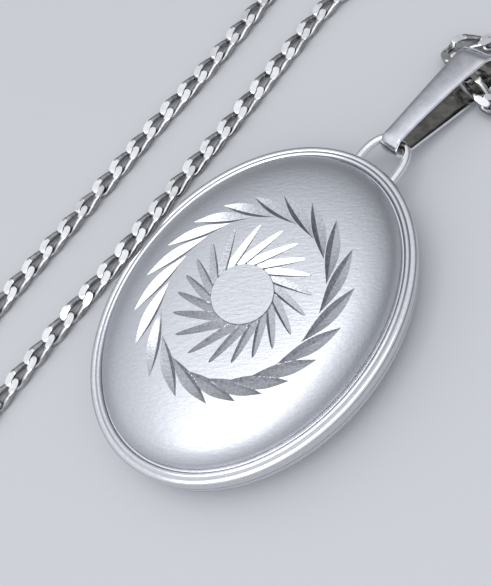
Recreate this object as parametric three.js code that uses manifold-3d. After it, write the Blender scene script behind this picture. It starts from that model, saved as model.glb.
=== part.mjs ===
// Oval silver locket lying on its back, with its bail, its curb chain and a bolt-ring clasp.
//
// Frame, in millimetres: the origin is the middle of the flat on the back cover, which rests on the table.
// +Z goes up through the front cover, +Y goes along the oval towards the bail,
// and the hinge is on the -X side.

import * as THREE from 'three';
import { mergeVertices } from 'three/addons/utils/BufferGeometryUtils.js';
import Module from 'manifold-3d';

const wasm = await Module();
wasm.setup();

// ---------------------------------------------------------------- driving dimensions

const HALF_LENGTH = 13.0; // centre of the oval to the rim's edge, along Y
const HALF_WIDTH = 9.78; // the same along X
const SEAM_Z = 3.05; // height of the joint between the two halves
const AROUND = 48; // facets round the oval
const FIT_GAP = 0.02; // between pieces that are soldered or rest together

const FLANGE = 1.0; // rim's edge to the foot of the dome
const SHELL_WALL = 0.35;
const FOOT_RISE = 0.82; // foot of each cover above the seam
const FRONT_RISE = 3.0; // top of the front cover above the seam
const BACK_FLAT = 0.6; // share of the back cover's width that is flat

const RECESS = 1.5; // rim's edge to the wall of the picture recess
const CARD_INSET = 1.58;

const HINGE_X = -9.3;
const HINGE_HALF = 4.0; // half the length of the three knuckles
const MIDDLE_HALF = 1.7; // half the length of the middle knuckle
const BARREL_RADIUS = 0.5;
const PIN_RADIUS = 0.22;
const PIN_BORE = 0.26;
const SLOT_RADIUS = 0.56; // room round the barrel in both rims

const LOOP_X = 0.3; // the loop is soldered a little off centre
const LOOP_Z = SEAM_Z - 0.5;
const LOOP_WIRE = 0.31;
const LOOP_TOP_Y = 15.7; // axis that the bail swings on

const BAIL_STRAP = 0.25;
const BAIL_CURL = 0.75; // middle radius of the strap round the loop
const BAIL_FOLD = 1.35; // middle radius of the strap at the chain end
const BAIL_LENGTH = 8.0; // curl to fold, centre to centre
const BAIL_FOOT_WIDTH = 1.5;
const BAIL_TOP_WIDTH = 2.64;
const BAIL_X = 0.32;
const BAIL_YAW = -0.11; // the bail lies a little towards +X
const BAIL_DROP = 0.105; // slopes down to the table
const BAIL_ROLL = 0.21; // and is rolled about its own length, so that its back leaf shows past the front one

const CHAIN_RADIUS = 0.75;
const CHAIN_FLATNESS = 0.7; // thickness of the chain over its width
const CHAIN_Z = 0.6; // middle of a chain that lies on the table
const COIL_CENTRE = [-9.2, 42.6];
const COIL_INNER = 4.65; // middle of the innermost turn
const COIL_OUTER = 9.8;
const COIL_HEIGHT = 2.2;

const CLASP_CENTRE = [7.0, 34.2];
const CLASP_RADIUS = 2.1; // middle of the hoop's tube
const CLASP_TUBE = 0.45;
const CLASP_BORE = 0.28;
const CLASP_TURN = -20; // degrees that the hoop is turned on the table
const CLASP_Z = 1.0; // the two rings that it hangs on hold it off the table
const RING_WIRE = 0.18;
const EYE_RADIUS = 0.5;
const EYE_REACH = CLASP_RADIUS + CLASP_TUBE + 0.42; // hoop's centre to the eye's
const TAB_ANGLE = 50; // of the bolt's thumb tab, round the hoop
const BOLT_TRAVEL = 40;

// ---------------------------------------------------------------- materials

function finish(color, roughness, metalness = 1, extra = {}) {
  return new THREE.MeshStandardMaterial({ color, roughness, metalness, ...extra });
}

const satinSilver = () => finish(0xc4c6ca, 0.42);
const polishedSilver = () => finish(0xd6d7d9, 0.16);
const springSteel = () => finish(0x9a9ca0, 0.3);
const clearSheet = () => finish(0xf4f6f8, 0.08, 0, { transparent: true, opacity: 0.3 });
const cardPaper = () => finish(0xe9e2d2, 0.85, 0);

// ---------------------------------------------------------------- geometry helpers

// A point of the curve that runs a steady distance inside the oval's edge.
function ovalPoint(angle, inset, scale = 1) {
  const c = Math.cos(angle);
  const s = Math.sin(angle);
  const normal = new THREE.Vector2(c / HALF_WIDTH, s / HALF_LENGTH).normalize();
  return new THREE.Vector2(HALF_WIDTH * c - inset * normal.x, HALF_LENGTH * s - inset * normal.y)
    .multiplyScalar(scale);
}

function ovalRing(inset, z, scale = 1) {
  const ring = [];
  for (let i = 0; i < AROUND; i += 1) {
    const p = ovalPoint((2 * Math.PI * i) / AROUND, inset, scale);
    ring.push(new THREE.Vector3(p.x, p.y, z));
  }
  return ring;
}

// Turns a closed mesh inside out if its faces point inwards.
function outward(geometry) {
  const p = geometry.getAttribute('position');
  const index = geometry.getIndex().array;
  const [a, b, c] = [new THREE.Vector3(), new THREE.Vector3(), new THREE.Vector3()];
  let volume = 0;
  for (let i = 0; i < index.length; i += 3) {
    a.fromBufferAttribute(p, index[i]);
    b.fromBufferAttribute(p, index[i + 1]);
    c.fromBufferAttribute(p, index[i + 2]);
    volume += a.dot(b.cross(c));
  }
  if (volume < 0) {
    for (let i = 0; i < index.length; i += 3) {
      [index[i], index[i + 1]] = [index[i + 1], index[i]];
    }
  }
  return geometry;
}

function fromRings(rings, triangles, extraPoints = []) {
  const points = [...rings.flat(), ...extraPoints];
  const geometry = new THREE.BufferGeometry();
  const numbers = points.flatMap((v) => [v.x, v.y, v.z]);
  geometry.setAttribute('position', new THREE.Float32BufferAttribute(numbers, 3));
  geometry.setIndex(triangles);
  return outward(geometry);
}

function bandTriangles(rows, columns, closeRows) {
  const triangles = [];
  const last = closeRows ? rows : rows - 1;
  for (let r = 0; r < last; r += 1) {
    for (let c = 0; c < columns; c += 1) {
      const a = r * columns + c;
      const b = r * columns + ((c + 1) % columns);
      const d = ((r + 1) % rows) * columns + c;
      const e = ((r + 1) % rows) * columns + ((c + 1) % columns);
      triangles.push(a, b, e, a, e, d);
    }
  }
  return triangles;
}

// Rings that close on themselves both ways, as on a frame or a folded strap.
function loopBody(rings) {
  return fromRings(rings, bandTriangles(rings.length, rings[0].length, true));
}

// Rings from one centre point, over an edge, to another centre point, as on a bowl or a plate.
function capBody(firstCentre, rings, lastCentre) {
  const columns = rings[0].length;
  const triangles = bandTriangles(rings.length, columns, false);
  const first = rings.length * columns;
  const lastRow = first - columns;
  for (let c = 0; c < columns; c += 1) {
    const next = (c + 1) % columns;
    triangles.push(first, next, c, first + 1, lastRow + c, lastRow + next);
  }
  return fromRings(rings, triangles, [firstCentre, lastCentre]);
}

function toSolid(geometry) {
  const bare = geometry.clone();
  bare.deleteAttribute('normal');
  bare.deleteAttribute('uv');
  const merged = mergeVertices(bare, 1e-4);
  const vertProperties = new Float32Array(merged.getAttribute('position').array);
  const triVerts = new Uint32Array(merged.getIndex().array);
  return new wasm.Manifold(new wasm.Mesh({ numProp: 3, vertProperties, triVerts }));
}

function fromSolid(solid) {
  const mesh = solid.getMesh();
  const geometry = new THREE.BufferGeometry();
  geometry.setAttribute('position', new THREE.BufferAttribute(new Float32Array(mesh.vertProperties), 3));
  geometry.setIndex(new THREE.BufferAttribute(new Uint32Array(mesh.triVerts), 1));
  return geometry;
}

function block(low, high) {
  const size = high.map((v, i) => v - low[i]);
  return new THREE.BoxGeometry(...size).translate(...low.map((v, i) => v + size[i] / 2));
}

// A rod along Y, as the hinge's parts are.
function rodY(radius, x, fromY, toY, z, sides = 16) {
  return new THREE.CylinderGeometry(radius, radius, toY - fromY, sides).translate(x, (fromY + toY) / 2, z);
}

// A wire or tube with a round or flattened section, along a smooth curve through the points.
function sweep(points, radius, steps, { sides = 8, flatness = 1, closed = false } = {}) {
  const stops = points.map((p) => new THREE.Vector3(...p));
  const curve = new THREE.CatmullRomCurve3(stops, closed, 'centripetal');
  const section = new THREE.Shape();
  for (let i = 0; i < sides; i += 1) {
    const angle = (2 * Math.PI * (i + 0.5)) / sides;
    const [x, y] = [radius * flatness * Math.cos(angle), radius * Math.sin(angle)];
    if (i === 0) {
      section.moveTo(x, y);
    } else {
      section.lineTo(x, y);
    }
  }
  section.closePath();
  const options = { steps, bevelEnabled: false, extrudePath: curve, curveSegments: 1 };
  return new THREE.ExtrudeGeometry(section, options);
}

// ---------------------------------------------------------------- the oval's own pieces

// side is +1 for the front half and -1 for the back half; heights count from the seam.
function rim(side) {
  const section = [
    [0, 0.03], [0, 0.72], [0.1, 0.9], [0.3, 0.97], [0.45, 0.94], [0.55, 1.03], [0.68, 1.06], [0.82, 1.01],
    [0.9, 0.8], [1.9, 0.8], [1.9, 0.64], [RECESS, 0.64], [RECESS, 0.03],
  ];
  const body = toSolid(loopBody(section.map(([inset, h]) => ovalRing(inset, SEAM_Z + side * h))));
  const reach = HINGE_HALF + 0.1;
  const flat = block([-20, -reach, SEAM_Z - 2], [HINGE_X, reach, SEAM_Z + 2]);
  const slot = block([-20, -reach, SEAM_Z - SLOT_RADIUS], [HINGE_X + 0.6, reach, SEAM_Z + SLOT_RADIUS]);
  const pocket = block([8.5, -1.4, SEAM_Z - 0.56], [8.88, 1.4, SEAM_Z + 0.56]);
  return fromSolid(body.subtract(toSolid(flat)).subtract(toSolid(slot)).subtract(toSolid(pocket)));
}

// The crowned part of a cover: 0 at its foot and 1 at its middle, with tight rounded shoulders.
function crown(scale, flat) {
  const u = Math.max(0, (scale - flat) / (1 - flat));
  return (1 - u ** (flat > 0 ? 2.4 : 4)) ** 0.4545;
}

function shell(side, rise, flat) {
  const outerScales = flat > 0
    ? [1, 0.995, 0.97, 0.93, 0.87, 0.79, 0.7, flat]
    : [1, 0.995, 0.975, 0.94, 0.88, 0.78, 0.6, 0.35];
  const innerScales = flat > 0 ? [0.7, 0.85, 0.95, 1] : [0.4, 0.7, 0.88, 0.97, 1];
  const outerRise = (s) => FOOT_RISE + (rise - FOOT_RISE) * crown(s, flat);
  const outer = outerScales.map((s) => ovalRing(FLANGE, SEAM_Z + side * outerRise(s), s));
  const inside = rise - FOOT_RISE - SHELL_WALL;
  const innerRise = (s) => FOOT_RISE + inside * crown(s, flat);
  const inner = innerScales.map((s) => ovalRing(FLANGE + SHELL_WALL, SEAM_Z + side * innerRise(s), s));
  const top = new THREE.Vector3(0, 0, SEAM_Z + side * rise);
  const under = new THREE.Vector3(0, 0, SEAM_Z + side * (rise - SHELL_WALL));
  return capBody(under, [...inner, ...outer], top);
}

function plate(inset, low, high) {
  const [z0, z1] = [SEAM_Z + low, SEAM_Z + high];
  const rings = [ovalRing(inset, z0), ovalRing(inset, z1)];
  return capBody(new THREE.Vector3(0, 0, z0), rings, new THREE.Vector3(0, 0, z1));
}

function photoFrame(side) {
  const section = [[1.54, 0.05], [1.54, 0.3], [2.1, 0.3], [2.35, 0.2], [2.35, 0.12], [2.15, 0.05]];
  return loopBody(section.map(([inset, h]) => ovalRing(inset, SEAM_Z + side * h)));
}

// ---------------------------------------------------------------- hinge and catch

function knuckle(side, fromY, toY) {
  const barrel = toSolid(rodY(BARREL_RADIUS, HINGE_X, fromY, toY, SEAM_Z));
  const [near, far] = [SEAM_Z + side * 0.06, SEAM_Z + side * (SLOT_RADIUS - FIT_GAP)];
  const leaf = block(
    [HINGE_X, fromY, Math.min(near, far)],
    [HINGE_X + 0.6 - FIT_GAP, toY, Math.max(near, far)],
  );
  const bore = toSolid(rodY(PIN_BORE, HINGE_X, fromY - 1, toY + 1, SEAM_Z));
  return fromSolid(barrel.add(toSolid(leaf)).subtract(bore));
}

function catchTongue() {
  const lip = block([8.54, -1.3, SEAM_Z - 0.53], [8.72, 1.3, SEAM_Z + 0.42]);
  const bead = block([8.7, -1.2, SEAM_Z + 0.2], [8.78, 1.2, SEAM_Z + 0.34]);
  return fromSolid(toSolid(lip).add(toSolid(bead)));
}

// ---------------------------------------------------------------- bail

function bailLoop() {
  const half = [[1.54, 12.2], [1.56, 13.4], [1.5, 14.4], [1.24, 15.2], [0.82, 15.66]];
  const points = [
    ...half.map(([x, y]) => [LOOP_X - x, y, LOOP_Z]),
    [LOOP_X, LOOP_TOP_Y, LOOP_Z],
    ...half.toReversed().map(([x, y]) => [LOOP_X + x, y, LOOP_Z]),
  ];
  const wire = toSolid(sweep(points, LOOP_WIRE, 22, { sides: 10 }));
  const rimRoom = toSolid(plate(-FIT_GAP, -2, 0));
  return fromSolid(wire.subtract(rimRoom));
}

// The strap's path in its own plane: along runs from the loop to the chain end,
// and rise is across its thickness.
function bailPath() {
  const lean = Math.asin((BAIL_FOLD - BAIL_CURL) / BAIL_LENGTH);
  const path = [];
  const curlSteps = 8;
  for (let i = 0; i <= curlSteps; i += 1) {
    const a = Math.PI / 2 + lean + ((Math.PI - 2 * lean) * i) / curlSteps;
    path.push({ along: BAIL_CURL * Math.cos(a), rise: BAIL_CURL * Math.sin(a), angle: a });
  }
  const foldSteps = 12;
  for (let i = 0; i <= foldSteps; i += 1) {
    const a = -Math.PI / 2 - lean + ((Math.PI + 2 * lean) * i) / foldSteps;
    path.push({ along: BAIL_LENGTH + BAIL_FOLD * Math.cos(a), rise: BAIL_FOLD * Math.sin(a), angle: a });
  }
  return path;
}

function bail() {
  const whole = BAIL_LENGTH + BAIL_FOLD;
  const rings = bailPath().map(({ along, rise, angle }) => {
    const width = BAIL_FOOT_WIDTH + (BAIL_TOP_WIDTH - BAIL_FOOT_WIDTH) * Math.max(0, along / whole) ** 1.6;
    const corners = [[-1, -1], [1, -1], [1, 1], [-1, 1]];
    return corners.map(([x, out]) => new THREE.Vector3(
      (x * width) / 2,
      along + (out * BAIL_STRAP * Math.cos(angle)) / 2,
      rise + (out * BAIL_STRAP * Math.sin(angle)) / 2,
    ));
  });
  return loopBody(rings);
}

// ---------------------------------------------------------------- chain

// From the clasp round to the bail, through it, and up to the top of the near strand.
const CHAIN_AT_BAIL = [
  [7.6, 30.95, 0.9], [8.2, 29.4, 0.6], [9.0, 27.5, CHAIN_Z], [8.8, 25.3, CHAIN_Z], [7.2, 23.6, CHAIN_Z],
  [5.2, 22.7, 0.7], [3.5, 22.4, 1.1], [2.0, 22.7, 1.6],
  [0.8, 23.2, 1.8], [-0.3, 23.7, 1.7], [-1.3, 24.5, 1.3],
  [-1.4, 25.7, 0.8], [-0.4, 26.8, 0.6], [1.1, 27.6, CHAIN_Z], [2.2, 28.9, CHAIN_Z], [2.2, 30.6, CHAIN_Z],
  [1.1, 32.0, CHAIN_Z], [-0.8, 32.7, CHAIN_Z], [-2.8, 32.5, CHAIN_Z],
];

// The two strands beside the locket and the bend between them, then up to the coil.
const CHAIN_STRANDS = [
  [-3.15, 32.43, CHAIN_Z], [-5.0, 31.6, CHAIN_Z], [-7.4, 30.2, CHAIN_Z], [-10.0, 28.9, CHAIN_Z],
  [-12.0, 27.0, CHAIN_Z], [-12.75, 24.2, CHAIN_Z], [-12.8, 19.0, CHAIN_Z], [-12.65, 12.0, CHAIN_Z],
  [-12.75, 5.0, CHAIN_Z], [-12.6, -2.0, CHAIN_Z], [-12.7, -9.0, CHAIN_Z], [-12.65, -15.3, CHAIN_Z],
  [-12.6, -18.0, CHAIN_Z], [-13.6, -20.4, CHAIN_Z], [-15.6, -21.4, CHAIN_Z], [-17.6, -20.2, CHAIN_Z],
  [-18.4, -17.6, CHAIN_Z], [-18.2, -14.0, CHAIN_Z], [-18.15, -8.0, CHAIN_Z], [-18.0, 0, CHAIN_Z],
  [-17.95, 8.0, CHAIN_Z], [-17.75, 15.0, CHAIN_Z], [-17.85, 21.8, CHAIN_Z], [-18.4, 28.0, CHAIN_Z],
  [-18.75, 36.5, CHAIN_Z],
];

// From the top turn of the coil down to the ring that the clasp holds.
const CHAIN_TAIL = [
  [0.75, 37.1, 1.5], [1.2, 36.6, 1.35], [1.9, 36.15, 1.15], [2.8, 35.75, 1.0],
];

function chain(points, steps) {
  return sweep(points, CHAIN_RADIUS, steps, { flatness: CHAIN_FLATNESS });
}

function coil() {
  const low = 0.03;
  const [inside, outside] = [COIL_INNER - CHAIN_RADIUS, COIL_OUTER + CHAIN_RADIUS];
  const round = 0.4;
  const profile = [
    [inside + round, low], [outside - round, low], [outside, low + round], [outside, COIL_HEIGHT - round],
    [outside - round, COIL_HEIGHT], [inside + round, COIL_HEIGHT], [inside, COIL_HEIGHT - round],
    [inside, low + round], [inside + round, low],
  ];
  return new THREE.LatheGeometry(profile.map(([r, z]) => new THREE.Vector2(r, z)), 40).rotateX(Math.PI / 2);
}

// ---------------------------------------------------------------- clasp

// An arc of the hoop in its own plane, from one angle to another in degrees.
function hoopArc(fromDegrees, toDegrees, radius, steps, sides = 8) {
  const points = [];
  for (let i = 0; i <= 12; i += 1) {
    const a = THREE.MathUtils.degToRad(fromDegrees + ((toDegrees - fromDegrees) * i) / 12);
    points.push([CLASP_RADIUS * Math.cos(a), CLASP_RADIUS * Math.sin(a), 0]);
  }
  return sweep(points, radius, steps, { sides });
}

function wireRing(radius, wire) {
  return new THREE.TorusGeometry(radius, wire, 6, 20);
}

// A slot through the hoop's outer wall, as long as the thumb tab travels.
function tabSlot() {
  const [from, to] = [TAB_ANGLE - 5, TAB_ANGLE + BOLT_TRAVEL + 5].map(THREE.MathUtils.degToRad);
  const sector = new THREE.Shape();
  sector.absarc(0, 0, CLASP_RADIUS + 0.1, from, to, false);
  sector.absarc(0, 0, CLASP_RADIUS + 0.6, to, from, true);
  sector.closePath();
  const options = { depth: 0.3, bevelEnabled: false, curveSegments: 6 };
  return new THREE.ExtrudeGeometry(sector, options).translate(0, 0, -0.15);
}

// A hollow hoop, open where the bolt crosses, slotted for the thumb tab, with a small eye behind.
function claspBody() {
  const tube = toSolid(hoopArc(20, 335, CLASP_TUBE, 24));
  const bore = toSolid(hoopArc(15, 170, CLASP_BORE, 14));
  const stub = toSolid(hoopArc(325, 345, CLASP_BORE, 3));
  const eye = toSolid(wireRing(EYE_RADIUS, RING_WIRE).translate(-EYE_REACH, 0, 0));
  return fromSolid(tube.add(eye).subtract(bore).subtract(stub).subtract(toSolid(tabSlot())));
}

function claspBolt() {
  const rod = toSolid(hoopArc(-20, TAB_ANGLE + 2, CLASP_BORE - 0.05, 8));
  const tab = block([2.15, -0.11, -0.1], [3.0, 0.11, 0.1]).rotateZ(THREE.MathUtils.degToRad(TAB_ANGLE));
  return fromSolid(rod.add(toSolid(tab)));
}

// A ring that stands upright through the hoop or its eye, a given distance from the hoop's centre.
function standingRing(radius, wire, reach, degrees) {
  return wireRing(radius, wire)
    .rotateX(Math.PI / 2)
    .translate(reach, 0, 0)
    .rotateZ(THREE.MathUtils.degToRad(degrees));
}

// A close coil of fine wire that follows the hoop's bore.
function claspSpring() {
  const points = [];
  const turns = 7;
  const perTurn = 7;
  for (let i = 0; i <= turns * perTurn; i += 1) {
    const share = i / (turns * perTurn);
    const along = THREE.MathUtils.degToRad(58 + 104 * share);
    const round = 2 * Math.PI * turns * share;
    const r = CLASP_RADIUS + 0.17 * Math.cos(round);
    points.push([r * Math.cos(along), r * Math.sin(along), 0.17 * Math.sin(round)]);
  }
  return sweep(points, 0.045, 56, { sides: 4 });
}

// ---------------------------------------------------------------- the assembly

const locket = new THREE.Group();

function place(parent, name, geometry, material) {
  const mesh = new THREE.Mesh(geometry, material);
  mesh.name = name;
  parent.add(mesh);
  return mesh;
}

const back = new THREE.Group();
const front = new THREE.Group();
locket.add(back, front);

place(back, 'back_shell', shell(-1, SEAM_Z, BACK_FLAT), polishedSilver());
place(back, 'back_rim', rim(-1), polishedSilver());
place(back, 'back_photo_frame', photoFrame(-1), polishedSilver());
place(back, 'back_window', plate(CARD_INSET, -0.44, -0.32), clearSheet());
place(back, 'back_photo_card', plate(CARD_INSET, -0.6, -0.46), cardPaper());
place(back, 'hinge_knuckle_back_lower', knuckle(-1, -HINGE_HALF, -MIDDLE_HALF - 0.04), polishedSilver());
place(back, 'hinge_knuckle_back_upper', knuckle(-1, MIDDLE_HALF + 0.04, HINGE_HALF), polishedSilver());
const pinEnd = HINGE_HALF + 0.05;
place(back, 'hinge_pin', rodY(PIN_RADIUS, HINGE_X, -pinEnd, pinEnd, SEAM_Z, 12), polishedSilver());
place(back, 'catch_tongue', catchTongue(), polishedSilver());
place(back, 'bail_loop', bailLoop(), polishedSilver());

place(front, 'front_shell', shell(1, FRONT_RISE, 0), satinSilver());
place(front, 'front_rim', rim(1), polishedSilver());
place(front, 'front_photo_frame', photoFrame(1), polishedSilver());
place(front, 'front_window', plate(CARD_INSET, 0.32, 0.44), clearSheet());
place(front, 'front_photo_card', plate(CARD_INSET, 0.46, 0.6), cardPaper());
place(front, 'hinge_knuckle_front', knuckle(1, -MIDDLE_HALF, MIDDLE_HALF), polishedSilver());
const keeperBar = block([8.8, -1.3, SEAM_Z + 0.05], [8.86, 1.3, SEAM_Z + 0.15]);
place(front, 'catch_keeper', keeperBar, polishedSilver());

const bailPlace = new THREE.Group();
bailPlace.position.set(BAIL_X, LOOP_TOP_Y, LOOP_Z);
bailPlace.rotation.set(-BAIL_DROP, -BAIL_ROLL, BAIL_YAW, 'ZXY');
locket.add(bailPlace);
place(bailPlace, 'bail', bail(), polishedSilver());

place(locket, 'chain_at_bail', chain(CHAIN_AT_BAIL, 22), polishedSilver());
place(locket, 'chain_strands', chain(CHAIN_STRANDS, 44), polishedSilver());
place(locket, 'chain_tail', chain(CHAIN_TAIL, 3), polishedSilver());
place(locket, 'chain_coil', coil().translate(COIL_CENTRE[0], COIL_CENTRE[1], 0), polishedSilver());

const clasp = new THREE.Group();
clasp.position.set(CLASP_CENTRE[0], CLASP_CENTRE[1], CLASP_Z);
clasp.rotation.z = THREE.MathUtils.degToRad(CLASP_TURN);
locket.add(clasp);
place(clasp, 'clasp_body', claspBody(), polishedSilver());
place(clasp, 'clasp_bolt', claspBolt(), polishedSilver());
place(clasp, 'clasp_spring', claspSpring(), springSteel());
place(clasp, 'clasp_eye_ring', standingRing(0.62, 0.15, EYE_REACH + EYE_RADIUS, 180), polishedSilver());
place(clasp, 'end_ring', standingRing(0.75, RING_WIRE, CLASP_RADIUS + 0.05, 300), polishedSilver());

export default locket;
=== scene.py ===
"""The looks of a small engraved oval locket on a fine curb chain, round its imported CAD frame."""

import math

import bmesh
import bpy
import numpy as np
from mathutils import Matrix, Vector
from mathutils.geometry import delaunay_2d_cdt


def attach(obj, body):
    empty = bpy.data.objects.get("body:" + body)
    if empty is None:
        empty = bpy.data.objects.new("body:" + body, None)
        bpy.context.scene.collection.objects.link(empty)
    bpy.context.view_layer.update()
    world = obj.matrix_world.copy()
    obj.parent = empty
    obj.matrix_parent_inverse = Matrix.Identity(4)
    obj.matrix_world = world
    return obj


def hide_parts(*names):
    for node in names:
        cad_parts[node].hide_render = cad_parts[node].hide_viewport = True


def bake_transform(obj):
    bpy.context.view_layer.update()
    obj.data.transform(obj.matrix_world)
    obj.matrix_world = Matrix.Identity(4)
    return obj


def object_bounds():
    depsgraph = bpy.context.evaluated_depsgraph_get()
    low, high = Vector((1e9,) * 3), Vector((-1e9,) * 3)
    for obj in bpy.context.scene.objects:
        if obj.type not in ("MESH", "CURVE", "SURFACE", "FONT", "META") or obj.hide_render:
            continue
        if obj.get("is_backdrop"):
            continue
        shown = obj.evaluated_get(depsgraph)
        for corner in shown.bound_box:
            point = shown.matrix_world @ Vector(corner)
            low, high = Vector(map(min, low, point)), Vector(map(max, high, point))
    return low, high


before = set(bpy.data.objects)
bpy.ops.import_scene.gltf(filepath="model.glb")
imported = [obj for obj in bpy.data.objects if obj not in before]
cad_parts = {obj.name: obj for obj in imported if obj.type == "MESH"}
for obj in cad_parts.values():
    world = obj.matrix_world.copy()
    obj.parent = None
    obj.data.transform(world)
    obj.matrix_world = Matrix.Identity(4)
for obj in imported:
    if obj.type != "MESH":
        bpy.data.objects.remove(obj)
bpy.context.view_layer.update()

MM = 0.001
TAU = 2 * math.pi

# ---------------------------------------------------------------- sizes in millimetres, as in the CAD

HALF_LENGTH, HALF_WIDTH = 13.0, 9.78
SEAM_Z = 3.05
FLANGE, SHELL_WALL = 1.0, 0.35
FOOT_RISE, FRONT_RISE, BACK_RISE = 0.82, 3.0, 3.05
BACK_FLAT = 0.6
HINGE_X, HINGE_REACH, SLOT_RADIUS = -9.3, 4.1, 0.56
LOOP_X, LOOP_Z, LOOP_WIRE, LOOP_TOP_Y = 0.3, 2.55, 0.31, 15.7
BAIL_STRAP, BAIL_CURL, BAIL_FOLD, BAIL_LENGTH = 0.25, 0.75, 1.35, 8.0
BAIL_FOOT_WIDTH, BAIL_TOP_WIDTH = 1.5, 2.64
BAIL_X, BAIL_YAW, BAIL_DROP, BAIL_ROLL = 0.32, -0.11, 0.105, 0.21
CHAIN_Z = 0.6
CLASP_X, CLASP_Y, CLASP_Z, CLASP_TURN = 7.0, 34.2, 1.0, -20
HOOP_RADIUS, HOOP_TUBE, HOOP_BORE, TAB_ANGLE = 2.1, 0.45, 0.28, 50
EYE_RADIUS, RING_WIRE, EYE_REACH = 0.5, 0.18, 2.97
SPRING_FROM, SPRING_TO, SPRING_TURNS = 58, 162, 11
PIN_RADIUS, PIN_BORE, BARREL_RADIUS, HINGE_HALF, MIDDLE_HALF = 0.22, 0.26, 0.5, 4.0, 1.7
COIL_X, COIL_Y, COIL_INNER, COIL_OUTER, COIL_TURNS, COIL_LAYER = -9.2, 42.6, 4.65, 9.8, 6.5, 1.02
AROUND = 192

# ---------------------------------------------------------------- camera

VIEW_AZIMUTH, VIEW_ELEVATION, VIEW_ROLL = 69.66, 62.59, -33.08
VIEW_DISTANCE, VIEW_SHIFT = 63.46, Vector((-1.29, 0.70, 0))
FOCAL = 57.55


def add_camera():
    az, el, roll = (math.radians(a) for a in (VIEW_AZIMUTH, VIEW_ELEVATION, VIEW_ROLL))
    back = Vector((math.sin(az) * math.cos(el), -math.cos(az) * math.cos(el), math.sin(el)))
    level = Vector((math.cos(az), math.sin(az), 0))
    rise = back.cross(level)
    right = level * math.cos(roll) + rise * math.sin(roll)
    up = rise * math.cos(roll) - level * math.sin(roll)
    place = (back * VIEW_DISTANCE + VIEW_SHIFT + Vector((0, 0, SEAM_Z))) * MM
    data = bpy.data.cameras.new("camera")
    data.lens = FOCAL
    data.clip_start, data.clip_end = 0.001, 10
    camera = bpy.data.objects.new("camera", data)
    camera.matrix_world = Matrix.Translation(place) @ Matrix((right, up, back)).transposed().to_4x4()
    bpy.context.scene.collection.objects.link(camera)
    bpy.context.scene.camera = camera


add_camera()

# ---------------------------------------------------------------- materials


class Nodes:
    """A material's node tree, with short calls to add and join nodes."""

    def __init__(self, name):
        self.material = bpy.data.materials.new(name)
        self.material.use_nodes = True
        self.tree = self.material.node_tree
        self.shader = self.tree.nodes["Principled BSDF"]

    def add(self, kind, inputs=None, **settings):
        node = self.tree.nodes.new(kind)
        for key, value in settings.items():
            setattr(node, key, value)
        for key, value in (inputs or {}).items():
            if isinstance(value, bpy.types.NodeSocket):
                self.tree.links.new(value, node.inputs[key])
            else:
                node.inputs[key].default_value = value
        return node

    def link(self, output, socket):
        self.tree.links.new(output, self.shader.inputs[socket])

    def noise(self, scale, stretch=(1, 1, 1), detail=3.0, turn=0.0):
        place = self.add("ShaderNodeTexCoord").outputs["Object"]
        mapped = self.add("ShaderNodeMapping", {"Vector": place, "Rotation": (0, 0, turn),
                                                "Scale": [1 / c for c in stretch]}, vector_type="TEXTURE")
        noise = self.add("ShaderNodeTexNoise",
                         {"Vector": mapped.outputs[0], "Scale": scale, "Detail": detail})
        return noise.outputs["Fac"]

    def ramp(self, value, low, high, colours):
        ramp = self.add("ShaderNodeValToRGB", {"Fac": value})
        ramp.color_ramp.elements[0].position, ramp.color_ramp.elements[1].position = low, high
        for element, colour in zip(ramp.color_ramp.elements, colours):
            element.color = (*colour, 1)
        return ramp.outputs["Color"]

    def spread(self, value, low, high):
        return self.add("ShaderNodeMapRange", {"Value": value, "From Min": 0.3, "From Max": 0.7,
                                               "To Min": low, "To Max": high}).outputs[0]

    def bump(self, height, strength, distance, under=None):
        inputs = {"Height": height, "Strength": strength, "Distance": distance}
        if under is not None:
            inputs["Normal"] = under
        return self.add("ShaderNodeBump", inputs).outputs[0]


def silver(name, colour, tarnish, roughness, grain, depth, stretch=(1, 1, 1), turn=0.0, patches=1500):
    """Silver with a slight tarnish, uneven polish and fine marks.

    grain is the marks' scale, and depth their height.
    """
    n = Nodes(name)
    n.shader.inputs["Metallic"].default_value = 1
    n.link(n.ramp(n.noise(patches, detail=6), 0.30, 0.60, (tarnish, colour)), "Base Color")
    marks = n.noise(grain, stretch, 4, turn)
    fine = n.noise(grain * 3.1, stretch, 2, turn + 0.3)
    n.link(n.spread(n.noise(patches * 1.7, detail=5), roughness * 0.92, roughness * 1.08), "Roughness")
    under = n.bump(marks, 0.5, depth)
    n.link(n.bump(fine, 0.35, depth * 0.6, under), "Normal")
    return n.material


def paper(name):
    n = Nodes(name)
    fibres = n.noise(5200, (1, 0.35, 1), 6)
    n.link(n.ramp(fibres, 0.3, 0.72, ((0.70, 0.65, 0.55), (0.86, 0.82, 0.73))), "Base Color")
    n.shader.inputs["Roughness"].default_value = 0.82
    n.link(n.bump(fibres, 0.5, 0.00003), "Normal")
    return n.material


def clear(name):
    n = Nodes(name)
    n.shader.inputs["Base Color"].default_value = (0.95, 0.97, 0.98, 1)
    n.shader.inputs["Transmission Weight"].default_value = 1
    n.shader.inputs["IOR"].default_value = 1.49
    n.link(n.spread(n.noise(1500, detail=5), 0.02, 0.09), "Roughness")
    n.link(n.bump(n.noise(4200, (1, 0.08, 1), 2, 0.5), 0.2, 0.000004), "Normal")
    return n.material


def plain(name, colour, roughness):
    n = Nodes(name)
    n.shader.inputs["Base Color"].default_value = (*colour, 1)
    n.shader.inputs["Roughness"].default_value = roughness
    return n.material


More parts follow.
